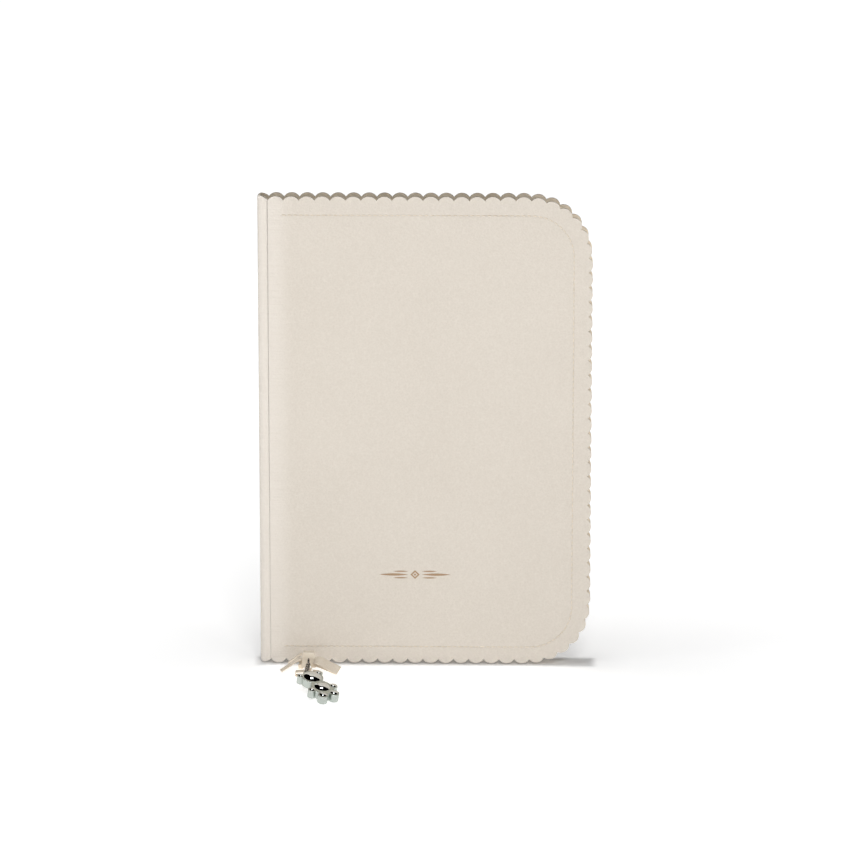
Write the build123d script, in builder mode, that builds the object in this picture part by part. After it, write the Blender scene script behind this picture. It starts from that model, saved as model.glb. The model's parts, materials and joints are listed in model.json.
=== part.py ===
"""A slim book in a zip-round soft leather cover with scalloped edges.

The closed book stands on its bottom edge. X runs from the spine to the fore edge, Y from the
front cover to the back cover and Z up. A bow of flat lace and a small metal bear hang from the
zip's slider, in front of the front cover. All sizes are in millimetres.
"""

import math
import os

from build123d import *

os.makedirs("parts", exist_ok=True)

# ---------------------------------------------------------------- driving sizes
HEIGHT = 240.0  # scallop tip to scallop tip
WIDTH = 166.0  # outside of the spine to the fore edge
THICKNESS = 11.0  # outside of the front cover to outside of the back cover
CORNER_RADIUS = 30.5  # the two corners at the fore edge
MIDDLE_Y = 35.4  # the middle plane of the closed book, which centres the whole object on Y = 0
FRONT_LIFT = 0.9  # the front cover's lower edge stands clear of the floor, over the lace

HALF_WIDTH = WIDTH / 2
SPINE_RADIUS = THICKNESS / 2
HINGE_X = SPINE_RADIUS - HALF_WIDTH  # where the flat covers start
FACE_Y = SPINE_RADIUS  # distance of each outer face from the middle plane
COVER_FRONT_Y = MIDDLE_Y - FACE_Y

# scalloped edge: lobes between points on a line that is a little inside the outline
SCALLOP_DEPTH = 2.1
LOBES_LONG = 17  # along the top, and along the bottom, of a cover
LOBES_CORNER = 6
LOBES_SIDE = 24  # along the fore edge

# layers of each cover, from the outside in
LEATHER = 0.8
BACKING = 0.4
BOARD = 0.7
LINING = 0.3
CARD = 0.4  # the booklet's own card cover
SLEEVE = 0.3

# distances in from the outline
STITCH_INSET = 9.4
TAPE_INSET = 7.6
ZIP_INSET = 13.0  # middle of the zip chain
LINING_INSET = 16.0
BOARD_INSET = 16.2
SLEEVE_INSET = 16.2
CARD_INSET = 16.6
PAGE_INSET = 17.5
PAGE_CORNER = 9.0
SLEEVE_MOUTH_X = -22.0

# stitching
THREAD_WIDTH = 0.5
GROOVE_WIDTH = 0.6
GROOVE = 0.14
THREAD = 0.12
STITCH_START = 6.5  # first stitch, from where the flat cover starts

# zip
CHAIN_HALF_WIDTH = 2.6
CHAIN_THICKNESS = 2.0
CHAIN_GAP = 0.8  # from the middle plane to each half of the chain
TAPE = 0.4
TAPE_START_X = -70.0
SLIDER_DIP = 2  # the slider is parked over this dip of the lower scalloped edge
SLIDER_LENGTH = 8.0
SLIDER_WIDTH = 7.0
SLIDER_HEIGHT = 4.8
SLIDER_SLOT = 1.0  # for the tapes
BRIDGE_WIDTH = 1.0

# booklet
PAGE_SPINE_X = -72.0
LEAF = 0.3
LEAF_STEP = 0.45
LEAF_COUNT = 4
LEAF_STAGGER = 0.5  # each leaf's folded edge sits clear of the next leaf's
LEAF_GAP = 0.15

# pull, bow and charm
RING_RADIUS = 3.0
RING_WIRE = 0.9
LACE_WIDTH = 3.6
KNOT_FORWARD = 12.5  # from the front cover to the middle of the bow's knot
LACE = 0.6
JUMP_RADIUS = 2.3
JUMP_WIRE = 0.8
LINK_REACH = 2.18  # middle of an oval link to the middle of the wire at its end
LINK_RADIUS = 0.85
LINK_WIRE = 0.7
PLAY = 0.12  # between two links
CHARM_THICKNESS = 4.3

book_plane = Plane(origin=(0, MIDDLE_Y, 0), x_dir=(1, 0, 0), z_dir=(0, -1, 0))


def export(builder, name):
    """Write one finished piece to its own file."""
    builder.part.label = name
    export_step(builder.part, f"parts/{name}.step")


def layer_plane(side, distance):
    """The plane at a distance from the middle plane, facing out of that cover."""
    turned = book_plane if side == "front" else Plane(
        origin=(0, MIDDLE_Y, 0), x_dir=(-1, 0, 0), z_dir=(0, 1, 0)
    )
    return turned.offset(distance)


def flip(side):
    """The back cover's planes run the other way along X."""
    return 1 if side == "front" else -1


# ---------------------------------------------------------------- outlines


LOBE_PITCH = (HALF_WIDTH - CORNER_RADIUS - HINGE_X) / LOBES_LONG


def lower_edge(side):
    """The height at which a cover's lower lobes end."""
    return FRONT_LIFT if side == "front" else 0.0


def dips(bottom):
    """The dips of the scalloped edge, from the spine along the bottom, the fore edge and the top."""
    radius = CORNER_RADIUS - SCALLOP_DEPTH
    right = HALF_WIDTH - CORNER_RADIUS
    low = bottom + CORNER_RADIUS
    high = HEIGHT - CORNER_RADIUS
    run = []
    for i in range(LOBES_LONG):
        run.append((HINGE_X + i * LOBE_PITCH, CORNER_RADIUS - SCALLOP_DEPTH))
    for i in range(LOBES_CORNER):
        turn = math.radians(90 - 90 * i / LOBES_CORNER)
        run.append((right + radius * math.cos(turn), radius * math.sin(turn)))
    points = [(x, low - rise) for x, rise in run]
    for i in range(LOBES_SIDE + 1):
        points.append((HALF_WIDTH - SCALLOP_DEPTH, low + i * (high - low) / LOBES_SIDE))
    return points + [(x, high + rise) for x, rise in reversed(run)]


def lobe_tip(start, end):
    """The tip of the lobe between two dips, outwards of the line between them."""
    chord = math.dist(start, end)
    out = ((end[1] - start[1]) / chord, (start[0] - end[0]) / chord)
    middle = ((start[0] + end[0]) / 2, (start[1] + end[1]) / 2)
    return (middle[0] + out[0] * SCALLOP_DEPTH, middle[1] + out[1] * SCALLOP_DEPTH)


def scalloped_face(sign, bottom):
    """The cover's outline with its lobes, in the sketch that is being built."""
    points = dips(bottom)
    with BuildLine() as edge:
        for start, end in zip(points, points[1:]):
            tip = lobe_tip(start, end)
            ThreePointArc(*[(sign * x, z) for x, z in (start, tip, end)])
        Line((sign * points[-1][0], points[-1][1]), (sign * points[0][0], points[0][1]))
    make_face(edge.edges())


def panel_face(sign, left, inset, radius=None, right=None, mode=Mode.ADD):
    """A panel with rounded corners at the fore edge, an inset from the outline on three sides."""
    corner = CORNER_RADIUS - inset if radius is None else radius
    edge = HALF_WIDTH - inset if right is None else right
    with BuildLine() as rim:
        Polyline(
            (sign * (edge - corner), inset), (sign * left, inset),
            (sign * left, HEIGHT - inset), (sign * (edge - corner), HEIGHT - inset),
        )
        RadiusArc(
            (sign * (edge - corner), HEIGHT - inset),
            (sign * edge, HEIGHT - inset - corner), sign * corner,
        )
        Line((sign * edge, HEIGHT - inset - corner), (sign * edge, inset + corner))
        RadiusArc((sign * edge, inset + corner), (sign * (edge - corner), inset), sign * corner)
    make_face(rim.edges(), mode=mode)


def band_face(sign, left, outer, inner):
    """A band that runs along the bottom, the fore edge and the top."""
    panel_face(sign, left, outer)
    panel_face(sign, left - 5, inner, mode=Mode.SUBTRACT)


# ---------------------------------------------------------------- covers, front and back
SLIDER_X = HINGE_X + SLIDER_DIP * LOBE_PITCH
CHAIN_START_X = SLIDER_X + SLIDER_LENGTH / 2 + 0.4
INNER = FACE_Y - LEATHER - BACKING - BOARD - LINING - CARD - SLEEVE  # half the room for the pages


def make_cover(side):
    """The layers of one cover that are sewn together, and its half of the zip."""
    sign = flip(side)
    bottom = lower_edge(side)
    leather_in = FACE_Y - LEATHER
    backing_in = leather_in - BACKING
    board_in = backing_in - BOARD
    lining_in = board_in - LINING
    card_in = lining_in - CARD

    with BuildPart() as cover_leather:
        with BuildSketch(layer_plane(side, leather_in)):
            scalloped_face(sign, bottom)
        extrude(amount=LEATHER)
        with BuildSketch(layer_plane(side, FACE_Y - GROOVE)):
            band_face(
                sign, HINGE_X + STITCH_START, STITCH_INSET - GROOVE_WIDTH / 2, STITCH_INSET + GROOVE_WIDTH / 2
            )
        extrude(amount=2 * GROOVE, mode=Mode.SUBTRACT)
    export(cover_leather, f"{side}_cover_leather")

    with BuildPart() as cover_backing:
        with BuildSketch(layer_plane(side, backing_in)):
            scalloped_face(sign, bottom)
        extrude(amount=BACKING)
    export(cover_backing, f"{side}_cover_backing")

    with BuildPart() as stiffener:
        with BuildSketch(layer_plane(side, board_in)):
            panel_face(sign, HINGE_X + 3, BOARD_INSET)
        extrude(amount=BOARD)
    export(stiffener, f"{side}_stiffener_board")

    with BuildPart() as lining:
        with BuildSketch(layer_plane(side, lining_in)):
            panel_face(sign, HINGE_X + 2.5, LINING_INSET)
        extrude(amount=LINING)
    export(lining, f"{side}_lining")

    with BuildPart() as card:
        with BuildSketch(layer_plane(side, card_in)):
            panel_face(sign, PAGE_SPINE_X, CARD_INSET, PAGE_CORNER, HALF_WIDTH - CARD_INSET)
        extrude(amount=CARD)
    export(card, f"booklet_{side}_card")

    with BuildPart() as sleeve:
        with BuildSketch(layer_plane(side, card_in - SLEEVE)):
            panel_face(sign, SLEEVE_MOUTH_X, SLEEVE_INSET)
        extrude(amount=SLEEVE)
    export(sleeve, f"{side}_sleeve_pocket")

    with BuildPart() as tape:
        with BuildSketch(layer_plane(side, backing_in - TAPE)):
            band_face(sign, TAPE_START_X, TAPE_INSET, ZIP_INSET + TAPE / 2)
        extrude(amount=TAPE)
        with BuildSketch(layer_plane(side, CHAIN_HALF_WIDTH)):
            band_face(sign, TAPE_START_X, ZIP_INSET - TAPE / 2, ZIP_INSET + TAPE / 2)
        extrude(amount=backing_in - TAPE - CHAIN_HALF_WIDTH)
    export(tape, f"{side}_zip_tape")

    with BuildPart() as chain:
        half = CHAIN_THICKNESS / 2
        with BuildSketch(layer_plane(side, CHAIN_GAP)):
            band_face(sign, CHAIN_START_X, ZIP_INSET - half, ZIP_INSET + half)
        extrude(amount=CHAIN_HALF_WIDTH - CHAIN_GAP)
    export(chain, f"{side}_zip_chain")

    with BuildPart() as stops:
        with BuildSketch(layer_plane(side, CHAIN_GAP)):
            with Locations((sign * (SLIDER_X - SLIDER_LENGTH / 2 - 1.4), ZIP_INSET)):
                RectangleRounded(1.8, 2.4, 0.5)
            with Locations((sign * (CHAIN_START_X - 1.2), HEIGHT - ZIP_INSET)):
                RectangleRounded(1.8, 2.4, 0.5)
        extrude(amount=CHAIN_HALF_WIDTH - CHAIN_GAP)
    export(stops, f"{side}_zip_stops")

    with BuildPart() as thread:
        with BuildSketch(layer_plane(side, FACE_Y - GROOVE)):
            band_face(
                sign, HINGE_X + STITCH_START, STITCH_INSET - THREAD_WIDTH / 2, STITCH_INSET + THREAD_WIDTH / 2
            )
        extrude(amount=THREAD)
    export(thread, f"{side}_stitching")


for cover_side in ("front", "back"):
    make_cover(cover_side)

# a small foil ornament stamped low on the front cover: a diamond between slim tapered strokes
ORNAMENT = (-5.0, 47.0)
ORNAMENT_ROOT = 3.4
STROKES = ((0.0, 18.0, 0.6), (1.7, 11.0, 0.35), (-1.7, 11.0, 0.35))  # height, reach and swell of each
FOIL = 0.06
with BuildPart() as front_foil_ornament:
    with BuildSketch(layer_plane("front", FACE_Y)):
        with Locations(ORNAMENT):
            RegularPolygon(2.3, 4)
            RegularPolygon(1.3, 4, mode=Mode.SUBTRACT)
            RegularPolygon(0.7, 4)
        for rise, reach, swell in STROKES:
            for direction in (-1, 1):
                root = (ORNAMENT[0] + direction * ORNAMENT_ROOT, ORNAMENT[1] + rise)
                tip = (ORNAMENT[0] + direction * reach, ORNAMENT[1] + rise)
                middle_x = (root[0] + tip[0]) / 2
                with BuildLine():
                    ThreePointArc(root, (middle_x, root[1] + swell), tip)
                    ThreePointArc(tip, (middle_x, root[1] - swell), root)
                make_face()
    extrude(amount=FOIL)
export(front_foil_ornament, "front_foil_ornament")

# ---------------------------------------------------------------- spine
SEAM_DIP = SCALLOP_DEPTH + FRONT_LIFT / 2  # the dip at the spine's mid-line


def spine_quarter(side, outer, inner):
    """A quarter of the half-round spine, its two ends cut to one lobe."""
    toward = -1 if side == "front" else 1
    bottom = lower_edge(side)
    facing = Vector(-1, toward, 0).normalized()
    half = outer * math.sin(math.radians(45))
    with BuildPart() as quarter:
        with BuildSketch(Plane.XY):
            with Locations((HINGE_X, MIDDLE_Y)):
                Circle(outer)
                Circle(inner, mode=Mode.SUBTRACT)
            with Locations((HINGE_X - outer, MIDDLE_Y + toward * outer)):
                Rectangle(2 * outer, 2 * outer, mode=Mode.INTERSECT)
        extrude(amount=HEIGHT)
        cut = Plane(origin=(HINGE_X, MIDDLE_Y, 0), x_dir=Vector(0, 0, 1).cross(facing), z_dir=facing)
        hinge_end = -half * toward
        with BuildSketch(cut):
            with BuildLine():
                ThreePointArc((hinge_end, bottom + SCALLOP_DEPTH), (0, bottom), (-hinge_end, SEAM_DIP))
                Line((-hinge_end, SEAM_DIP), (-hinge_end, HEIGHT - SCALLOP_DEPTH))
                ThreePointArc(
                    (-hinge_end, HEIGHT - SCALLOP_DEPTH), (0, HEIGHT), (hinge_end, HEIGHT - SCALLOP_DEPTH)
                )
                Line((hinge_end, HEIGHT - SCALLOP_DEPTH), (hinge_end, bottom + SCALLOP_DEPTH))
            make_face()
        extrude(amount=2 * outer, mode=Mode.INTERSECT)
    return quarter


def spine_layer(outer, inner, name):
    """One layer of the spine, front quarter and back quarter joined."""
    front_quarter = spine_quarter("front", outer, inner)
    back_quarter = spine_quarter("back", outer, inner)
    with BuildPart() as layer:
        add(front_quarter.part)
        add(back_quarter.part)
    export(layer, name)


spine_layer(SPINE_RADIUS, SPINE_RADIUS - LEATHER, "spine_leather")
spine_layer(SPINE_RADIUS - LEATHER, SPINE_RADIUS - LEATHER - BACKING, "spine_backing")

# ---------------------------------------------------------------- booklet
LEAVES_TOP = INNER - LEAF_GAP  # the last loose leaf ends here, next to the back cover's pocket


def page_face(left):
    panel_face(1, left, PAGE_INSET, PAGE_CORNER, HALF_WIDTH - PAGE_INSET - 0.5)


for i in range(LEAF_COUNT):
    with BuildPart() as leaf:
        with BuildSketch(book_plane.offset(LEAF + i * LEAF_STEP - LEAVES_TOP)):
            page_face(PAGE_SPINE_X + i * LEAF_STAGGER)
        extrude(amount=-LEAF)
    export(leaf, f"loose_leaf_{LEAF_COUNT - i}")

block_back = LEAVES_TOP - LEAF_COUNT * LEAF_STEP
with BuildPart() as page_block:
    with BuildSketch(book_plane.offset(-block_back)):
        page_face(PAGE_SPINE_X)
    extrude(amount=block_back + INNER)
export(page_block, "page_block")

STRIP = 0.4
with BuildPart() as binding_strip:
    with BuildSketch(book_plane.offset(-block_back)):
        with Locations((PAGE_SPINE_X - STRIP / 2, HEIGHT / 2)):
            Rectangle(STRIP, HEIGHT - 2 * PAGE_INSET - 8)
    extrude(amount=block_back + INNER)
export(binding_strip, "booklet_binding_strip")

HEADBAND = 1.0
with BuildPart() as headbands:
    with BuildSketch(book_plane.offset(-block_back)):
        for z in (PAGE_INSET + HEADBAND, HEIGHT - PAGE_INSET - HEADBAND):
            with Locations((PAGE_SPINE_X - HEADBAND / 2, z)):
                RectangleRounded(HEADBAND, 2 * HEADBAND, 0.3)
    extrude(amount=block_back + INNER - 0.4)
export(headbands, "booklet_headbands")

# ---------------------------------------------------------------- zip slider
half_height = SLIDER_HEIGHT / 2
channel = CHAIN_THICKNESS / 2 + 0.3
bridge_x = SLIDER_X - SLIDER_LENGTH / 2 + 1.2

with BuildPart() as slider_body:
    with BuildSketch(Plane.XY.offset(ZIP_INSET - half_height)):
        with Locations((SLIDER_X, MIDDLE_Y)):
            RectangleRounded(SLIDER_LENGTH, SLIDER_WIDTH, 1.6)
    extrude(amount=SLIDER_HEIGHT)
    with BuildSketch(Plane.XY.offset(ZIP_INSET - channel)):
        with Locations((SLIDER_X, MIDDLE_Y)):
            Rectangle(2 * SLIDER_LENGTH, 2 * CHAIN_HALF_WIDTH + 0.6)
    extrude(amount=2 * channel, mode=Mode.SUBTRACT)
    with BuildSketch(Plane.XY.offset(ZIP_INSET - SLIDER_SLOT / 2)):
        with Locations((SLIDER_X, MIDDLE_Y)):
            Rectangle(2 * SLIDER_LENGTH, 2 * SLIDER_WIDTH)
    extrude(amount=SLIDER_SLOT, mode=Mode.SUBTRACT)
    with BuildSketch(Plane.XY.offset(ZIP_INSET - channel)):
        with Locations((bridge_x, MIDDLE_Y)):
            Rectangle(1.6, BRIDGE_WIDTH)
    extrude(amount=2 * channel)
export(slider_body, "slider_body")

ARCH_TOP = ZIP_INSET - half_height
ARCH_DROP = 2.5
ARCH_BAR = 0.8
ARCH_REACH = 3.1
with BuildPart() as slider_arch:
    with BuildSketch(Plane(origin=(SLIDER_X, MIDDLE_Y, ARCH_TOP), x_dir=(1, 0, 0), z_dir=(0, -1, 0))):
        with Locations((0, -ARCH_DROP / 2)):
            Rectangle(2 * ARCH_REACH, ARCH_DROP)
            Rectangle(2 * (ARCH_REACH - ARCH_BAR), ARCH_DROP - 2 * ARCH_BAR, mode=Mode.SUBTRACT)
        with Locations((0, -ARCH_BAR / 2)):
            Rectangle(2 * (ARCH_REACH - ARCH_BAR), ARCH_BAR, mode=Mode.SUBTRACT)
    extrude(amount=0.8, both=True)
    fillet(slider_arch.edges().filter_by(Axis.Y).group_by(Axis.Z)[0], 0.7)
export(slider_arch, "slider_arch")

# ---------------------------------------------------------------- pull ring, lace and bow


def ring_of_wire(centre, axis, radius, wire):
    """A closed round ring of wire."""
    centre = Vector(*centre)
    axis = Vector(*axis).normalized()
    across = axis.cross(Vector(0, 1, 0)).normalized()
    with BuildPart() as ring:
        with BuildSketch(Plane(origin=centre + across * radius, x_dir=across, z_dir=axis.cross(across))):
            Circle(wire / 2)
        revolve(axis=Axis(centre, axis))
    return ring


def oval_link(centre, along, axis):
    """A closed oval link of wire with its long way along a direction."""
    straight = LINK_REACH - LINK_RADIUS
    with BuildPart() as link:
        with BuildLine(Plane(origin=centre, x_dir=along, z_dir=axis)) as oval:
            Line((-straight, LINK_RADIUS), (straight, LINK_RADIUS))
            ThreePointArc((straight, LINK_RADIUS), (LINK_REACH, 0), (straight, -LINK_RADIUS))
            Line((straight, -LINK_RADIUS), (-straight, -LINK_RADIUS))
            ThreePointArc((-straight, -LINK_RADIUS), (-LINK_REACH, 0), (-straight, LINK_RADIUS))
        with BuildSketch(Plane(origin=oval.wires()[0] @ 0, z_dir=oval.wires()[0] % 0)):
            Circle(LINK_WIRE / 2)
        sweep(path=oval.wires()[0])
    return link


RING_TOP = ARCH_TOP - 0.85  # middle of the wire, inside the arch
RING_FOOT = RING_TOP - 2 * RING_RADIUS
pull_ring = ring_of_wire((SLIDER_X, MIDDLE_Y, RING_TOP - RING_RADIUS), (1, 0, 0), RING_RADIUS, RING_WIRE)
export(pull_ring, "pull_ring")


def lace_run(start, heading, profile, width, radius, name, lean=0):
    """Flat lace bent in a plane. The profile lists how far along and how high it goes."""
    along = Vector(math.cos(math.radians(heading)), math.sin(math.radians(heading)), 0)
    level = along.cross(Vector(0, 0, 1))
    across = level * math.cos(math.radians(lean)) - Vector(0, 0, 1) * math.sin(math.radians(lean))
    with BuildPart() as lace:
        with BuildSketch(Plane(origin=start, x_dir=along, z_dir=across)):
            with BuildLine():
                FilletPolyline(*profile, radius=radius)
            trace(line_width=LACE)
        extrude(amount=width / 2, both=True)
    export(lace, name)


KNOT = Vector(-58.0, COVER_FRONT_Y - KNOT_FORWARD, 5.0)
FIRST_LINK = Vector(KNOT.X, KNOT.Y - 4.2, 5.2)
with BuildPart() as lace_hitch:
    with BuildSketch(Plane(origin=(SLIDER_X, MIDDLE_Y, RING_FOOT), x_dir=(1, 0, 0), z_dir=(0, -1, 0))):
        RectangleRounded(2.6, 2.2, 0.6)
        Circle(RING_WIRE / 2 + 0.2, mode=Mode.SUBTRACT)
    extrude(amount=0.9, both=True)
export(lace_hitch, "lace_hitch")

FLOOR_RUN = 0.1 + LACE / 2
lace_rise = FACE_Y + KNOT_FORWARD - 2.4
lace_run(
    (SLIDER_X, MIDDLE_Y, 0), -90,
    [(-0.8, RING_FOOT - 1.45), (0.6, RING_FOOT - 1.45), (2.6, FLOOR_RUN), (lace_rise - 0.9, FLOOR_RUN), (lace_rise, 2.6)],
    2.6, 0.5, "pull_lace",
)

KNOT_HEIGHT = 7.9
KNOT_FOOT = 2.4
KNOT_TOP_HALF = 2.8
KNOT_FOOT_HALF = 3.9
NOTCH_HALF = 1.4  # the gap between the knot's two legs, where the ring hangs
NOTCH_HEIGHT = 3.0
with BuildPart() as bow_knot:
    with BuildSketch(Plane(origin=(KNOT.X, KNOT.Y, KNOT_FOOT), x_dir=(1, 0, 0), z_dir=(0, -1, 0))):
        with BuildLine():
            Polyline(
                (-KNOT_FOOT_HALF, 0), (-KNOT_TOP_HALF, KNOT_HEIGHT), (KNOT_TOP_HALF, KNOT_HEIGHT),
                (KNOT_FOOT_HALF, 0), (NOTCH_HALF, 0), (0, NOTCH_HEIGHT), (-NOTCH_HALF, 0), close=True,
            )
        make_face()
    extrude(amount=2.2, both=True)
    fillet(bow_knot.edges().group_by(Axis.Z)[-1], 0.9)
    fillet(bow_knot.edges().filter_by(Axis.Y).group_by(Axis.X)[0], 0.6)
    fillet(bow_knot.edges().filter_by(Axis.Y).group_by(Axis.X)[-1], 0.6)
with BuildPart() as ring_room:
    add(ring_of_wire(FIRST_LINK, (1, 0, 0), JUMP_RADIUS, JUMP_WIRE + 0.2).part)
with BuildPart() as bow_knot_bored:
    add(bow_knot.part)
    add(ring_room.part, mode=Mode.SUBTRACT)
export(bow_knot_bored, "bow_knot")

# heights in these five runs are over the knot's middle or over the floor, as their start says
lace_run(
    (KNOT.X, KNOT.Y, KNOT.Z), -33, [(4.3, 2.0), (7.0, 2.2), (17.0, -2.3), (17.1, -3.1), (8.2, -0.1), (4.6, 0.4)],
    5.0, 0.35, "bow_loop_right", lean=32,
)
lace_run(
    (KNOT.X, KNOT.Y + 2.3, 0), 180, [(3.4, 8.0), (4.6, 8.1), (10.4, 3.6), (10.2, 2.4), (6.0, 4.6), (4.0, 5.2)],
    3.0, 0.4, "bow_loop_left",
)
lace_run((KNOT.X, KNOT.Y - 0.7, 0), 198, [(4.0, 7.2), (5.4, 7.0), (14.6, 1.5)], LACE_WIDTH, 0.6, "bow_tail_left")
lace_run(
    (KNOT.X - 6.6, KNOT.Y - 9.2, 0), 0,
    [(4.6, 2.8), (0.4, 2.5), (0.3, 0.45), (12.4, 0.45), (12.2, 2.5), (8.8, 2.8)],
    LACE_WIDTH, 0.6, "bow_loop_front",
)
lace_run((KNOT.X, KNOT.Y, 0), -90, [(1.0, 1.8), (3.6, 1.5), (7.4, 1.6)], 3.0, 0.3, "bow_tongue")

# ---------------------------------------------------------------- links to the charm
CHARM_TILT = math.radians(16)  # the head end is raised
CHARM_TURN = math.radians(32)  # the feet point to the front and toward the fore edge
CHAIN_SLOPE = 0.1415
LINK_COUNT = 8
EYELET_RADIUS = 1.15
EYELET_WIRE = 0.55
EYELET_AT = 13.3  # from the middle of the charm

jump_ring = ring_of_wire(FIRST_LINK, (1, 0, 0), JUMP_RADIUS, JUMP_WIRE)
export(jump_ring, "jump_ring")

chain_way = Vector(0, -1, CHAIN_SLOPE).normalized()
link_room = LINK_REACH - LINK_WIRE / 2  # from the middle of a link to the inside of its end
link_step = 2 * link_room - PLAY
first_step = link_room + JUMP_RADIUS - JUMP_WIRE / 2 - PLAY
level_axis = Vector(0, CHAIN_SLOPE, 1).normalized()
for i in range(LINK_COUNT):
    middle = FIRST_LINK + chain_way * (first_step + i * link_step)
    link = oval_link(middle, chain_way, level_axis if i % 2 == 0 else Vector(1, 0, 0))
    export(link, f"chain_link_{i + 1}")

# ---------------------------------------------------------------- bear charm
charm_right = Vector(math.cos(CHARM_TURN), math.sin(CHARM_TURN), 0)
charm_up = Vector(
    -math.sin(CHARM_TURN) * math.cos(CHARM_TILT), math.cos(CHARM_TURN) * math.cos(CHARM_TILT), math.sin(CHARM_TILT)
)
charm_out = charm_right.cross(charm_up)
# the eyelet's wire runs through the round end of the last link
last_bend = middle + chain_way * (LINK_REACH - LINK_RADIUS)
eyelet_way = (chain_way - charm_out * chain_way.dot(charm_out)).normalized()
eyelet_middle = last_bend + eyelet_way * EYELET_RADIUS
charm_middle = eyelet_middle - charm_up * EYELET_AT
charm_back = Plane(origin=charm_middle - charm_out * CHARM_THICKNESS / 2, x_dir=charm_right, z_dir=charm_out)

HEAD = (0, 6.8)
HEAD_RADIUS = 5.4
BELLY = (0, -3.0)
BELLY_RADII = (5.4, 6.4)
EAR = (5.2, 9.5)
EAR_RADIUS = 1.8
PAW = (6.0, -3.6)
PAW_RADIUS = 2.1
FOOT = (3.1, -9.6)
FOOT_RADIUS = 2.6


def both_sides(point):
    return ((-point[0], point[1]), point)


with BuildPart() as charm_body:
    with BuildSketch(charm_back):
        with Locations(HEAD):
            Circle(HEAD_RADIUS)
        with Locations(BELLY):
            Ellipse(*BELLY_RADII)
        with Locations(*both_sides(EAR)):
            Circle(EAR_RADIUS)
        with Locations(*both_sides(PAW)):
            Circle(PAW_RADIUS)
        with Locations(*both_sides(FOOT)):
            Circle(FOOT_RADIUS)
    extrude(amount=CHARM_THICKNESS)
export(charm_body, "charm_body")

eyelet_ring = ring_of_wire(eyelet_middle, charm_out, EYELET_RADIUS, EYELET_WIRE)
with BuildPart() as charm_eyelet:
    add(eyelet_ring.part)
    add(charm_body.part, mode=Mode.SUBTRACT)
export(charm_eyelet, "charm_eyelet")

DOME_EDGE = 0.6  # flat rim left round each dome
DOME_SWELL = 0.38  # height of a dome over its reach
charm_face = charm_back.offset(CHARM_THICKNESS)


def make_domes(points, radius, name):
    """Polished domes on the charm's face, one at each point."""
    reach = radius - DOME_EDGE
    height = reach * DOME_SWELL
    ball = (reach**2 + height**2) / (2 * height)
    with BuildPart() as domes:
        for x, y in points:
            with Locations(charm_face.offset(height - ball).location * Location((x, y, 0))):
                Sphere(ball)
        with BuildSketch(charm_face):
            with Locations(*points):
                Circle(reach)
        extrude(amount=2 * height, mode=Mode.INTERSECT)
    export(domes, name)


make_domes([HEAD], HEAD_RADIUS - 0.3, "charm_head_dome")
make_domes([BELLY], BELLY_RADII[0] - 0.9, "charm_belly_dome")
make_domes(both_sides(EAR), EAR_RADIUS, "charm_ear_domes")
make_domes(both_sides(FOOT), FOOT_RADIUS, "charm_foot_domes")
make_domes(both_sides(PAW), PAW_RADIUS, "charm_paw_domes")
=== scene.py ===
# %% [markdown]
# # A slim book in a zip-round leather cover
# The closed book stands on its scalloped lower edge. A leather bow and a small polished bear hang
# from the zip's slider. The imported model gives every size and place; this script gives the pieces
# their rounded edges, threads, teeth, grain and shine, and sets up a small photo studio.

# %% Load the frame
import json
import math

import bmesh
import bpy
from mathutils import Matrix, Vector


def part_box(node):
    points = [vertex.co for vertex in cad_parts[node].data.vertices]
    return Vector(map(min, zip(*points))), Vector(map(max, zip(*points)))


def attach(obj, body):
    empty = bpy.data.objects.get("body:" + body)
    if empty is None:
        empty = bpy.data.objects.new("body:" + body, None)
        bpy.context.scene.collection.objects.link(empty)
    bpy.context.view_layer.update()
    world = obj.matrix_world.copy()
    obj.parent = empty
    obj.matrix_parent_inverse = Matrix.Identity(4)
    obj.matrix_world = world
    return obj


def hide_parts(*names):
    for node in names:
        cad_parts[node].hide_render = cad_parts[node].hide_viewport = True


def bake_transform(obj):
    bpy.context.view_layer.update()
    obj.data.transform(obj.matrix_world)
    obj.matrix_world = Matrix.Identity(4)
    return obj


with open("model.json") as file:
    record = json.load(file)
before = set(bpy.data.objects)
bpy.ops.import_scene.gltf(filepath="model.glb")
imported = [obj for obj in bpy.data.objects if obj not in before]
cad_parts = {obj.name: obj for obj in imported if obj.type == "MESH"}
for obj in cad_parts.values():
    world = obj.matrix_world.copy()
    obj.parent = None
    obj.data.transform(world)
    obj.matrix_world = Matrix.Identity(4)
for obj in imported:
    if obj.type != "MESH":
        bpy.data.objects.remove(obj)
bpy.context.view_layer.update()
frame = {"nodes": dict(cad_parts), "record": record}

MM = 0.001
MERGE_DISTANCE = 0.002 * MM
FLAT_ANGLE = math.radians(0.6)  # faces that turn less than this count as one flat face
print("nodes:", len(frame["nodes"]))

# %% [markdown]
# ## Measures
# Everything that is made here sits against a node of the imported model, so the measures are read
# from the nodes' boxes: the outer faces of the two covers, the middle plane between them, and the
# line where the flat covers end and the soft spine starts.

# %% Measures
front_low, front_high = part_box("front_cover_leather")
back_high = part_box("back_cover_leather")[1]
spine_low, spine_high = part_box("spine_leather")
FRONT_Y = front_low[1]
BACK_Y = back_high[1]
MIDDLE_Y = (FRONT_Y + BACK_Y) / 2
HINGE_X = spine_high[0]
SPINE_X = spine_low[0]
FORE_X = front_high[0]
TOP_Z = back_high[2]
SPINE_RADIUS = HINGE_X - SPINE_X
CORNER_RADIUS = 30.5 * MM
print("book", round(FORE_X - SPINE_X, 4), round(BACK_Y - FRONT_Y, 4), round(TOP_Z, 4))

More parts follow.
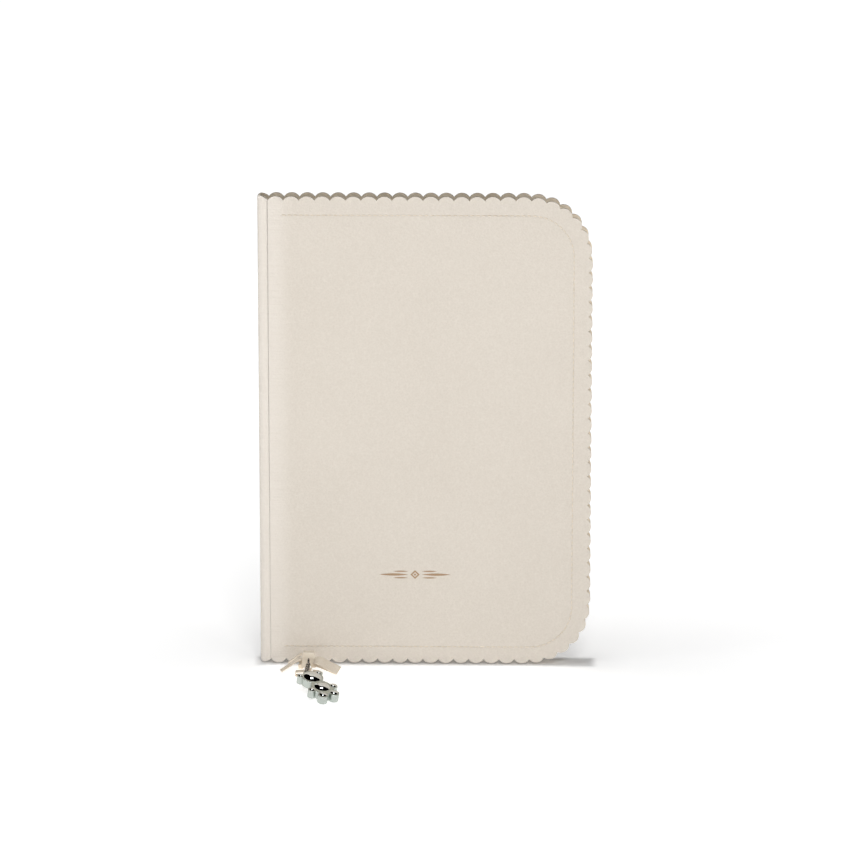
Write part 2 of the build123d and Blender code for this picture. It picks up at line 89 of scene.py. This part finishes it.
# %% [markdown]
# ## Helpers for meshes
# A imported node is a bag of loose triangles. A piece that needs soft edges starts from a copy of
# it: the copy's doubles are merged, its flat faces are joined, and its sharp edges get a small
# rounded bevel. A leather edge is burnished round and cast metal is tumbled smooth, so a bevel is
# close to what the maker does.

# %% Mesh helpers


def finish_piece(bm, name, material, body, angle=35):
    """Makes an object of a bmesh, smooth but for its sharp corners, and lets it ride on a body."""
    mesh = bpy.data.meshes.new(name)
    bm.to_mesh(mesh)
    bm.free()
    mesh.shade_smooth()
    mesh.set_sharp_from_angle(angle=math.radians(angle))
    piece = bpy.data.objects.new(name, mesh)
    bpy.context.scene.collection.objects.link(piece)
    mesh.materials.append(material)
    if body is not None:
        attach(piece, body)
    return piece


def copy_of(*nodes):
    """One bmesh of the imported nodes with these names, merged and with its flat faces joined."""
    bm = bmesh.new()
    for node in nodes:
        bm.from_mesh(frame["nodes"][node].data)
    bmesh.ops.remove_doubles(bm, verts=bm.verts, dist=MERGE_DISTANCE)
    bmesh.ops.dissolve_limit(bm, angle_limit=FLAT_ANGLE, verts=bm.verts, edges=bm.edges)
    bmesh.ops.recalc_face_normals(bm, faces=bm.faces)
    return bm


def round_edges(bm, size, over=40, segments=2):
    """A small round bevel on the edges that turn more sharply than an angle."""
    limit = math.radians(over)
    sharp = [e for e in bm.edges if len(e.link_faces) == 2 and e.calc_face_angle(0) > limit]
    bmesh.ops.bevel(
        bm, geom=sharp, offset=size, offset_type="OFFSET", affect="EDGES", segments=segments,
        profile=0.5, material=-1, clamp_overlap=True,
    )
    return len(sharp)


# %% [markdown]
# ## Helpers for shaders
# Node trees read more easily as sums. One small class wraps a socket, so that `grain * 0.3 + 1`
# adds the Math nodes itself, and one method adds any other node.

# %% Shader helpers


class Value:
    """A socket of a node tree with the usual arithmetic."""

    def __init__(self, tree, socket):
        self.tree = tree
        self.socket = socket

    def _math(self, operation, a, b):
        return self.tree.node("ShaderNodeMath", {"operation": operation}, {0: a, 1: b})

    def __add__(self, other):
        return self._math("ADD", self, other)

    __radd__ = __add__

    def __sub__(self, other):
        return self._math("SUBTRACT", self, other)

    def __mul__(self, other):
        return self._math("MULTIPLY", self, other)

    __rmul__ = __mul__

    def size(self):
        return self._math("ABSOLUTE", self, 0.0)


class Finish:
    """A material under construction: one Principled shader and the nodes that feed it."""

    def __init__(self, name, **constants):
        self.material = bpy.data.materials.new(name)
        self.material.use_nodes = True
        self.nodes = self.material.node_tree.nodes
        self.links = self.material.node_tree.links
        self.shader = self.nodes["Principled BSDF"]
        for socket, value in constants.items():
            self.shader.inputs[socket.replace("_", " ")].default_value = value

    def node(self, kind, settings=None, inputs=None, output=0):
        """Adds a node, sets it up, feeds its sockets and returns one of its outputs."""
        made = self.nodes.new(kind)
        for key, value in (settings or {}).items():
            if key == "stops":
                ramp = made.color_ramp.elements
                while len(ramp) < len(value):
                    ramp.new(0.5)
                for stop, (place, colour) in zip(ramp, value):
                    stop.position = place
                    stop.color = colour
            else:
                setattr(made, key, value)
        for socket, value in (inputs or {}).items():
            target = made.inputs[socket]
            if isinstance(value, Value):
                self.links.new(value.socket, target)
            else:
                target.default_value = value
        return Value(self, made.outputs[output])

    def place(self, scale=(1, 1, 1), turn=(0, 0, 0)):
        """Object coordinates, stretched and turned."""
        here = self.node("ShaderNodeTexCoord", output="Object")
        return self.node(
            "ShaderNodeMapping", None, {"Vector": here, "Scale": scale, "Rotation": turn}
        )

    def noise(self, where, scale, detail=3.0, roughness=0.55):
        return self.node(
            "ShaderNodeTexNoise", None,
            {"Vector": where, "Scale": scale, "Detail": detail, "Roughness": roughness},
        )

    def ramp(self, factor, low, high, start=0.3, end=0.7):
        """A colour between two colours, as a number goes from start to end."""
        stops = [(start, low), (end, high)]
        return self.node("ShaderNodeValToRGB", {"stops": stops}, {"Fac": factor})

    def blend(self, factor, a, b):
        """Two colours mixed. The sockets 6 and 7 are the Mix node's colours and 2 is its result."""
        return self.node("ShaderNodeMix", {"data_type": "RGBA"}, {0: factor, 6: a, 7: b}, output=2)

    def relief(self, height, depth, strength=1.0, under=None):
        """A bump of a depth in metres."""
        feed = {"Height": height, "Strength": strength, "Distance": depth}
        if under is not None:
            feed["Normal"] = under
        return self.node("ShaderNodeBump", None, feed)

    def feed(self, **links):
        for socket, value in links.items():
            self.links.new(value.socket, self.shader.inputs[socket.replace("_", " ")])
        return self.material


def colour(red, green, blue):
    """A colour given as 0 to 255 in the usual display values, made linear."""

    def linear(channel):
        share = channel / 255
        return share / 12.92 if share <= 0.04045 else ((share + 0.055) / 1.055) ** 2.4

    return (linear(red), linear(green), linear(blue), 1.0)


# %% [markdown]
# ## Cover leather
# The cover is cream artificial leather: a fine pebble grain pressed into a soft coating. Small
# cells give the pebbles, a finer noise gives the pores, and a slow noise keeps the sheet from
# being one flat colour. Near the spine the leather has no board behind it, so it creases in fine
# lines across the fold. There the colour is painted lighter, more along the creases: a painted
# highlight band along the fold.

# %% Cover leather


def make_cover_leather(name, light, dark):
    finish = Finish(name, Roughness=0.58, Coat_Weight=0.05, Coat_Roughness=0.45, Sheen_Weight=0.12)
    here = finish.place()
    cells = finish.node(
        "ShaderNodeTexVoronoi", {"feature": "SMOOTH_F1"},
        {"Vector": here, "Scale": 1150.0, "Randomness": 1.0},
    )
    pores = finish.noise(here, 2600.0, 2.0)
    drift = finish.noise(here, 14.0, 2.0)
    patches = finish.noise(here, 620.0, 3.0)
    side = finish.node("ShaderNodeSeparateXYZ", None, {0: here})
    near_spine = finish.node(
        "ShaderNodeMapRange", {"interpolation_type": "SMOOTHSTEP"},
        {0: side, 1: HINGE_X + 2 * MM, 2: HINGE_X + 13 * MM, 3: 1.0, 4: 0.0},
    )
    folds = finish.noise(finish.place(scale=(45, 45, 950)), 1.0, 4.0, 0.65)
    tone = finish.ramp(drift * 0.3 + patches * 0.3 + cells * 0.4, dark, light, 0.22, 0.66)
    # Painted highlight: near the spine the colour is mixed towards a lighter cream, more along the
    # creases.
    tone_with_painted_highlight = finish.blend(near_spine * (0.35 + 0.35 * folds), tone, colour(222, 215, 206))
    grain = finish.relief(cells * 0.7 + pores * 0.5, 0.12 * MM, 0.7)
    creases = finish.relief(folds * near_spine, 0.45 * MM, 0.5, under=grain)
    rough = 0.52 + 0.14 * drift
    return finish.feed(Base_Color=tone_with_painted_highlight, Roughness=rough, Normal=creases)


cover_leather = make_cover_leather(
    "cream pebbled leather", colour(210, 202, 191), colour(199, 190, 178)
)
print("material:", cover_leather.name)

# %% [markdown]
# ## The other soft finishes
# The backing behind the scallops is a darker, smooth tan leather. The lace of the bow is cut from
# a tan-cream leather with a finer grain than the cover's. Lining, tape and book cloth are weaves:
# two crossed waves make the threads.

# %% Plain leathers, cloths, paper and board


def make_smooth_leather(name, light, dark, rough=0.5):
    finish = Finish(name, Roughness=rough, Sheen_Weight=0.1)
    here = finish.place()
    pores = finish.noise(here, 1900.0, 3.0)
    drift = finish.noise(here, 120.0, 3.0)
    tone = finish.ramp(drift * 0.7 + pores * 0.3, dark, light, 0.35, 0.65)
    return finish.feed(
        Base_Color=tone, Roughness=rough - 0.06 + 0.14 * drift,
        Normal=finish.relief(pores, 0.05 * MM, 0.5),
    )


THREADS_AT_SCALE_ONE = 6.3  # to a metre: a Wave texture has 3.2 waves there, and a wave is two threads


def make_cloth(name, light, dark, threads=1500.0):
    finish = Finish(name, Roughness=0.85, Sheen_Weight=0.2)
    scale = threads / THREADS_AT_SCALE_ONE
    across, along = (
        finish.node(
            "ShaderNodeTexWave", {"bands_direction": way}, {"Vector": finish.place(), "Scale": scale}
        )
        for way in "XZ"
    )
    fuzz = finish.noise(finish.place(), 900.0, 3.0)
    weave = across * 0.5 + along * 0.5
    tone = finish.ramp(weave * 0.6 + fuzz * 0.4, dark, light, 0.25, 0.75)
    return finish.feed(
        Base_Color=tone, Roughness=0.78 + 0.16 * fuzz, Normal=finish.relief(weave, 0.08 * MM, 0.6)
    )


def make_paper(name, light, dark, sheets=0.0):
    finish = Finish(name, Roughness=0.8)
    fibres = finish.noise(finish.place(), 500.0, 4.0)
    stretch = (2, sheets, 2) if sheets else (3, 1, 3)
    layer = finish.noise(finish.place(scale=stretch), 1.0, 2.0)
    tone = finish.ramp(fibres * 0.4 + layer * 0.6, dark, light, 0.3, 0.7)
    return finish.feed(
        Base_Color=tone, Roughness=0.74 + 0.14 * fibres, Normal=finish.relief(layer, 0.05 * MM, 0.4)
    )


inner_leather = make_smooth_leather("tan inner leather", colour(244, 232, 212), colour(233, 219, 196))
lace_leather = make_smooth_leather(
    "tan-cream lace leather", colour(234, 223, 206), colour(218, 204, 184), 0.45
)
lining_cloth = make_cloth("lining cloth", colour(205, 190, 166), colour(186, 168, 142))
tape_cloth = make_cloth("zip tape cloth", colour(214, 200, 176), colour(190, 173, 146), 2400.0)
book_cloth = make_cloth("book cloth", colour(226, 212, 190), colour(208, 192, 168))
grey_board = make_paper("grey board", colour(190, 180, 165), colour(172, 160, 143))
card_paper = make_paper("ivory card", colour(238, 231, 217), colour(229, 220, 203))
page_paper = make_paper("page paper", colour(246, 242, 232), colour(226, 218, 202), 9000.0)
print("soft finishes ready")

# %% [markdown]
# ## Metal finishes
# The bear, the rings and the slider are cast, then plated. The bear's sides are satin; its raised
# face, belly and paws are polished like a mirror, so they show the dark and bright parts of the
# room. Small scratches and a little cloudiness keep the plating from looking computed.

# %% Metals, thread and foil


def make_metal(name, tone, rough, spread=0.08, cloud=0.08):
    finish = Finish(name, Metallic=1.0)
    here = finish.place()
    clouds = finish.noise(here, 260.0, 3.0)
    scratches = finish.noise(finish.place(scale=(300, 2600, 700), turn=(0.2, 0.4, 0.7)), 1.0, 2.0)
    low = tuple(channel * (1 - cloud) for channel in tone[:3]) + (1.0,)
    shade = finish.ramp(clouds, low, tone, 0.35, 0.65)
    return finish.feed(
        Base_Color=shade, Roughness=rough + spread * clouds,
        Normal=finish.relief(scratches, 0.01 * MM, 0.15),
    )


def make_thread(name, light, dark):
    finish = Finish(name, Roughness=0.6, Sheen_Weight=0.25)
    here = finish.place(turn=(0, 0.78, 0))
    plies = finish.node(
        "ShaderNodeTexWave", {"bands_direction": "DIAGONAL"}, {"Vector": here, "Scale": 700.0}
    )
    tone = finish.ramp(plies, dark, light, 0.2, 0.8)
    return finish.feed(
        Base_Color=tone, Roughness=0.55 + 0.1 * plies,
        Normal=finish.relief(plies, 0.04 * MM, 0.5),
    )


bear_satin = make_metal("satin silver plating", colour(186, 192, 186), 0.24)
bear_polish = make_metal("mirror silver plating", colour(226, 230, 230), 0.03, 0.02, 0.03)
ring_wire = make_metal("dark nickel wire", colour(120, 116, 112), 0.16)
slider_nickel = make_metal("pale nickel", colour(215, 210, 200), 0.18)
zip_brass = make_metal("pale brass teeth", colour(222, 200, 156), 0.25)
foil_bronze = make_metal("matt bronze foil", colour(168, 143, 115), 0.5, 0.1)
cover_thread = make_thread("cream thread", colour(232, 221, 205), colour(208, 194, 174))
print("metal finishes ready")

# %% [markdown]
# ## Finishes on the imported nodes
# Nodes whose shape is already right keep it and get their finish here. The name of the record's
# slot says which finish each one takes.

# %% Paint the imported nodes
FINISH_OF_SLOT = {
    "cover_leather": cover_leather, "inner_leather": inner_leather, "board": grey_board,
    "lining": lining_cloth, "thread": cover_thread, "zip_tape": tape_cloth, "zip_teeth": zip_brass,
    "zip_stops": zip_brass, "foil": foil_bronze, "card": card_paper, "paper": page_paper,
    "binding": book_cloth, "slider_metal": slider_nickel, "wire": ring_wire,
    "lace_leather": lace_leather, "charm_metal": bear_satin, "charm_polish": bear_polish,
}
slot_of_node = {part["node"]: part["material_slot"] for part in frame["record"]["subparts"]}
for name, node in frame["nodes"].items():
    node.data.materials.clear()
    node.data.materials.append(FINISH_OF_SLOT[slot_of_node[name]])
print("painted", len(slot_of_node), "nodes")

# %% [markdown]
# ## The leather of the covers
# The cover is one sheet that runs from the front, round the spine, to the back. Each half of it is
# a piece here, and the two meet along the middle of the spine. A half starts as copies of the flat
# cover and of the half-round spine, which are cut at the middle plane and sewn together, and its cut
# edges are rounded over as a burnished leather edge is.

# %% Cover skins
SEWING_DISTANCE = 0.01 * MM
SEAM_REACH = 0.02 * MM
CUT_STEP = 0.8 * MM  # cuts beside the fold line
BURNISH = 0.22 * MM
SMOOTH_BELOW = 16  # degrees: under the bevel's steps and over the steps of the round spine


def make_skin(name, cover, case, clear_front):
    """The leather of one cover and of the half of the spine beside it."""
    bm = bmesh.new()
    bm.from_mesh(frame["nodes"]["spine_leather"].data)
    bmesh.ops.remove_doubles(bm, verts=bm.verts, dist=MERGE_DISTANCE)
    bmesh.ops.bisect_plane(
        bm, geom=bm.verts[:] + bm.edges[:] + bm.faces[:], plane_co=(0, MIDDLE_Y, 0), plane_no=(0, 1, 0),
        clear_inner=clear_front, clear_outer=not clear_front,
    )
    bm.from_mesh(frame["nodes"][cover].data)
    bmesh.ops.remove_doubles(bm, verts=bm.verts, dist=SEWING_DISTANCE)
    seam = [
        f for f in bm.faces
        if abs(f.calc_center_median().x - HINGE_X) < SEAM_REACH and abs(f.normal.x) > 0.9
    ]
    bmesh.ops.delete(bm, geom=seam, context="FACES")
    bmesh.ops.dissolve_limit(bm, angle_limit=FLAT_ANGLE, verts=bm.verts, edges=bm.edges)
    for step in range(-1, 7):
        bmesh.ops.bisect_plane(
            bm, geom=bm.verts[:] + bm.edges[:] + bm.faces[:],
            plane_co=(HINGE_X + step * CUT_STEP, 0, 0), plane_no=(1, 0, 0),
        )
    rounded = round_edges(bm, BURNISH, over=50)
    bmesh.ops.recalc_face_normals(bm, faces=bm.faces)
    skin = finish_piece(bm, name, cover_leather, None, angle=SMOOTH_BELOW)
    flat = [face for face in skin.data.polygons if abs(face.normal.y) > 0.9999]
    for face in flat:
        face.use_smooth = False
    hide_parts(cover)
    print(name, "rounded edges", rounded, "faces", len(skin.data.polygons))
    return skin


front_skin = make_skin("front_leather_skin", "front_cover_leather", "front_case", False)
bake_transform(front_skin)
back_skin = make_skin("back_leather_skin", "back_cover_leather", "back_case", True)
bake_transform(back_skin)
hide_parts("spine_leather")

# %% [markdown]
# ## Stitches
# The thread shows as a row of short stitches, each pulled a little into the leather at its ends.
# One stitch is modelled as a small flattened bead, and the row sets copies of it along the line
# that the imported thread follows: along the bottom, round the corner, up the fore edge, and back.

# %% Stitch rows
STITCH_PITCH = 2.8 * MM
STITCH_LENGTH = 2.25 * MM
STITCH_WIDTH = 0.55 * MM
STITCH_THICKNESS = 0.42 * MM
STITCH_PROUD = 0.09 * MM
STITCH_INSET = 9.4 * MM
STITCH_LEAN = math.radians(4)


def places_along(left, inset, pitch):
    """Points and directions along a band's middle line, from the spine round to the spine."""
    right = FORE_X - CORNER_RADIUS
    radius = CORNER_RADIUS - inset
    flat = right - left
    side = TOP_Z - 2 * CORNER_RADIUS
    bend = radius * math.pi / 2
    total = 2 * flat + 2 * bend + side
    count = int(total / pitch)
    for i in range(count):
        at = (i + 0.5) * total / count
        if at < flat:
            yield (left + at, inset), 0.0
        elif at < flat + bend:
            turn = (at - flat) / radius
            yield (right + radius * math.sin(turn), inset + radius - radius * math.cos(turn)), turn
        elif at < flat + bend + side:
            yield (FORE_X - inset, CORNER_RADIUS + at - flat - bend), math.pi / 2
        elif at < flat + 2 * bend + side:
            turn = (at - flat - bend - side) / radius
            yield (
                (right + radius * math.cos(turn), TOP_Z - CORNER_RADIUS + radius * math.sin(turn)),
                math.pi / 2 + turn,
            )
        else:
            yield (right - (at - flat - 2 * bend - side), TOP_Z - inset), math.pi


def repeat_along(master, places, y):
    """Copies of a small bmesh at each place along a line in the plane y."""
    row = bmesh.new()
    shape = bpy.data.meshes.new("repeated shape")
    master.to_mesh(shape)
    for (x, z), turn in places:
        first = len(row.verts)
        row.from_mesh(shape)
        row.verts.ensure_lookup_table()
        placed = Matrix.Translation((x, y, z)) @ Matrix.Rotation(-turn, 4, "Y")
        bmesh.ops.transform(row, matrix=placed, verts=row.verts[first:])
    bpy.data.meshes.remove(shape)
    return row


def make_stitches(side, face_y, outward):
    """The row of stitches of one cover."""
    node = f"{side}_stitching"
    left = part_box(node)[0][0]
    bead = bmesh.new()
    bmesh.ops.create_uvsphere(bead, u_segments=8, v_segments=6, radius=0.5)
    bmesh.ops.scale(bead, vec=(STITCH_LENGTH, STITCH_THICKNESS, STITCH_WIDTH), verts=bead.verts)
    bmesh.ops.rotate(bead, matrix=Matrix.Rotation(STITCH_LEAN, 3, "Y"), verts=bead.verts)
    places = places_along(left, STITCH_INSET, STITCH_PITCH)
    row = repeat_along(bead, places, face_y - outward * STITCH_PROUD)
    stitches = finish_piece(row, f"{side}_stitches", cover_thread, f"{side}_case")
    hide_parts(node)
    print(stitches.name, "faces", len(stitches.data.polygons))


make_stitches("front", FRONT_Y, -1)
make_stitches("back", BACK_Y, 1)

# %% [markdown]
# ## Zip teeth
# A metal tooth is a small block with a head that hooks over its neighbour. The two halves' teeth
# take turns, so the heads of one half sit between the heads of the other half. Each tooth is a cube
# whose head end is drawn in, with its edges rounded.

# %% Zip teeth
TOOTH_PITCH = 2.4 * MM
TOOTH_LENGTH = 1.1 * MM
TOOTH_DEPTH = 1.9 * MM
TOOTH_EDGE = 0.22 * MM
TOOTH_INSET = 13.0 * MM
TOOTH_HEAD = 0.26 * MM  # the heads end short of the slider's bridge, which runs between the halves


def make_teeth(side, toward):
    """The teeth of one half of the zip. toward is the direction of the other half along Y."""
    node = f"{side}_zip_chain"
    low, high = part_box(node)
    tooth = bmesh.new()
    bmesh.ops.create_cube(tooth, size=1.0)
    reach = high[1] - low[1] + TOOTH_HEAD
    bmesh.ops.scale(tooth, vec=(TOOTH_LENGTH, reach, TOOTH_DEPTH), verts=tooth.verts)
    tip = [v for v in tooth.verts if v.co.y * toward > 0]
    bmesh.ops.scale(tooth, vec=(0.8, 1.0, 0.75), verts=tip)
    bmesh.ops.bevel(
        tooth, geom=tooth.edges[:], offset=TOOTH_EDGE, offset_type="OFFSET", affect="EDGES",
        segments=1, profile=0.5, material=-1,
    )
    start = low[0] + (TOOTH_PITCH / 2 if toward > 0 else 0.0)
    places = list(places_along(start, TOOTH_INSET, TOOTH_PITCH))
    middle = (low[1] + high[1]) / 2 + toward * TOOTH_HEAD / 2
    teeth = finish_piece(
        repeat_along(tooth, places, middle), f"{side}_zip_teeth", zip_brass, f"{side}_case"
    )
    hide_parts(node)
    print(teeth.name, "teeth", len(places))


make_teeth("front", 1)
make_teeth("back", -1)

# %% [markdown]
# ## Rounded copies of the small pieces
# The slider, the lace strips and the bear's body are cast, moulded or cut pieces with
# softened edges. Each is a copy of its imported node with a round bevel.

# %% Rounded copies
BAIL_EDGE = 0.2 * MM
SHELL_EDGE = 0.25 * MM
BEAR_EDGE = 0.7 * MM
LACE_EDGE = 0.13 * MM
STRIPS = (
    "bow_loop_right", "bow_loop_left", "bow_loop_front", "bow_tail_left", "bow_tongue", "pull_lace"
)


def make_rounded(node, name, body, size, segments=3, over=40):
    """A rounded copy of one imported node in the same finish."""
    bm = copy_of(node)
    round_edges(bm, size, over, segments)
    piece = finish_piece(bm, name, FINISH_OF_SLOT[slot_of_node[node]], body)
    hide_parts(node)
    print(name, "faces", len(piece.data.polygons))
    return piece


make_rounded("slider_body", "slider_shell", "slider", SHELL_EDGE)
make_rounded("slider_arch", "slider_bail", "slider", BAIL_EDGE)
make_rounded("charm_body", "bear_body", "charm", BEAR_EDGE, 4)
for strip in STRIPS:
    make_rounded(strip, strip + "_lace", "pull", LACE_EDGE, 2)

# %% [markdown]
# ## Studio floor
# The book stands on white paper that has no visible horizon. The paper has a painted glow: its
# emission stands in for light. It is least under the book, where it is a painted contact shadow, and
# more with distance from it. So it goes to clean white away from the book, and painted shade stays
# beside it with the lamps' soft shadows.

# %% Floor
FLOOR_HALF = 9.0
FLOOR_DROP = 0.02 * MM
floor_mesh = bmesh.new()
bmesh.ops.create_grid(floor_mesh, x_segments=1, y_segments=1, size=FLOOR_HALF)
floor_data = bpy.data.meshes.new("studio_floor")
floor_mesh.to_mesh(floor_data)
floor_mesh.free()
floor = bpy.data.objects.new("studio_floor", floor_data)
floor.location.z = -FLOOR_DROP
bpy.context.scene.collection.objects.link(floor)
# The paper's emission is no lamp: it is a painted glow that stands in for light.
white_paper = Finish("white studio paper with painted glow", Roughness=0.8, Emission_Strength=0.97)
spot = white_paper.place()


def beyond(axis, middle, half):
    """How far a spot on the floor lies outside the book's footprint, along one axis."""
    along = white_paper.node("ShaderNodeSeparateXYZ", None, {0: spot}, output=axis) - middle
    past = along.size() - half
    return white_paper.node("ShaderNodeMath", {"operation": "MAXIMUM"}, {0: past, 1: 0.0})


past_x = beyond(0, (FORE_X + SPINE_X) / 2, (FORE_X - SPINE_X) / 2)
past_y = beyond(1, MIDDLE_Y, SPINE_RADIUS)
outside = white_paper.node("ShaderNodeCombineXYZ", None, {0: past_x, 1: past_y})
reach = white_paper.node("ShaderNodeVectorMath", {"operation": "LENGTH"}, {0: outside}, output=1)
# Painted glow against distance from the book's footprint: dimmest under the book, a painted contact
# shadow, and full white far away.
PAINTED_GLOW_OVER_DISTANCE = ((0.000, 0.15), (0.003, 0.52), (0.02, 0.60), (0.25, 0.88), (0.90, 1.0))
painted_glow_stops = [(metres, (share, share, share, 1)) for metres, share in PAINTED_GLOW_OVER_DISTANCE]
painted_glow = white_paper.node("ShaderNodeValToRGB", {"stops": painted_glow_stops}, {"Fac": reach})
paper_clouds = white_paper.noise(spot, 3.0)
paper_tone = white_paper.ramp(paper_clouds, colour(251, 251, 251), colour(253, 253, 253))
floor_data.materials.append(white_paper.feed(Base_Color=paper_tone, Emission_Color=painted_glow))

# %% [markdown]
# ## Studio lights and room
# A large light high in front gives the covers their even tone, and smaller ones at the sides, above
# and low in front shape the edges and the bear. The room is pale near the floor and dark overhead:
# polished metal shows both, the dark as black and the lights as bright spots.

# %% Lights
# name, place, the point it faces, width and height in metres, power in watts
LIGHTS = (
    ("top softbox", (0.05, -0.25, 1.6), (0, 0, 0.08), 0.50, 0.32, 3.4),
    ("left softbox", (-1.5, -0.5, 0.30), (0, 0, 0.08), 0.5, 0.5, 7.0),
    ("right softbox", (1.2, -1.5, 0.25), (0, 0, 0.03), 0.5, 0.4, 3.2),
    ("low front softbox", (0.0, -0.50, 0.04), (0, 0, 0.01), 0.9, 0.06, 0.55),
    ("high front softbox", (0.4, -3.0, 2.6), (0, 0, 0.12), 1.0, 1.0, 46.0),
)
# The room's brightness against the upward share of a direction: it fades between two shares.
ROOM_FADE = {"From Min": 0.25, "From Max": 0.60, "To Min": 0.30, "To Max": 0.005}


def add_light(name, place, aim, width, height, watts):
    """A rectangular soft light that faces a point."""
    lamp = bpy.data.lights.new(name, "AREA")
    lamp.shape = "RECTANGLE"
    lamp.size = width
    lamp.size_y = height
    lamp.energy = watts
    holder = bpy.data.objects.new(name, lamp)
    holder.location = place
    holder.rotation_euler = (Vector(aim) - Vector(place)).to_track_quat("-Z", "Y").to_euler()
    bpy.context.scene.collection.objects.link(holder)


for light in LIGHTS:
    add_light(*light)

world = bpy.data.worlds.new("studio air")
world.use_nodes = True
air = world.node_tree
way = air.nodes.new("ShaderNodeTexCoord")
split = air.nodes.new("ShaderNodeSeparateXYZ")
fade = air.nodes.new("ShaderNodeMapRange")
fade.interpolation_type = "SMOOTHSTEP"
for socket, value in ROOM_FADE.items():
    fade.inputs[socket].default_value = value
air.links.new(way.outputs["Generated"], split.inputs["Vector"])
air.links.new(split.outputs["Z"], fade.inputs["Value"])
air.links.new(fade.outputs["Result"], air.nodes["Background"].inputs["Strength"])
bpy.context.scene.world = world
bpy.context.scene.view_settings.view_transform = "Standard"
print("lights:", len(LIGHTS))

# %% [markdown]
# ## Camera
# A long lens looks at the front cover from a little above, almost square on.

# %% Camera
SENSOR_WIDTH = 36.0
CAMERA_DISTANCE = 2.5
CAMERA_RISE = math.radians(14.0)
CAMERA_SIDE = math.radians(1.0)
FRAME_WIDTH = 0.4230
AIM_ABOVE_MIDDLE = 4.3 * MM
aim = Vector((0.0, FRONT_Y, TOP_Z / 2 + AIM_ABOVE_MIDDLE))
level = math.cos(CAMERA_RISE)
direction = Vector(
    (math.sin(CAMERA_SIDE) * level, -math.cos(CAMERA_SIDE) * level, math.sin(CAMERA_RISE))
)
camera_data = bpy.data.cameras.new("long lens")
camera_data.sensor_width = SENSOR_WIDTH
camera_data.lens = SENSOR_WIDTH * CAMERA_DISTANCE / FRAME_WIDTH
camera = bpy.data.objects.new("studio camera", camera_data)
camera.location = aim + direction * CAMERA_DISTANCE
camera.rotation_euler = (-direction).to_track_quat("-Z", "Y").to_euler()
bpy.context.scene.collection.objects.link(camera)
bpy.context.scene.camera = camera
print("lens", round(camera_data.lens, 1), "mm")
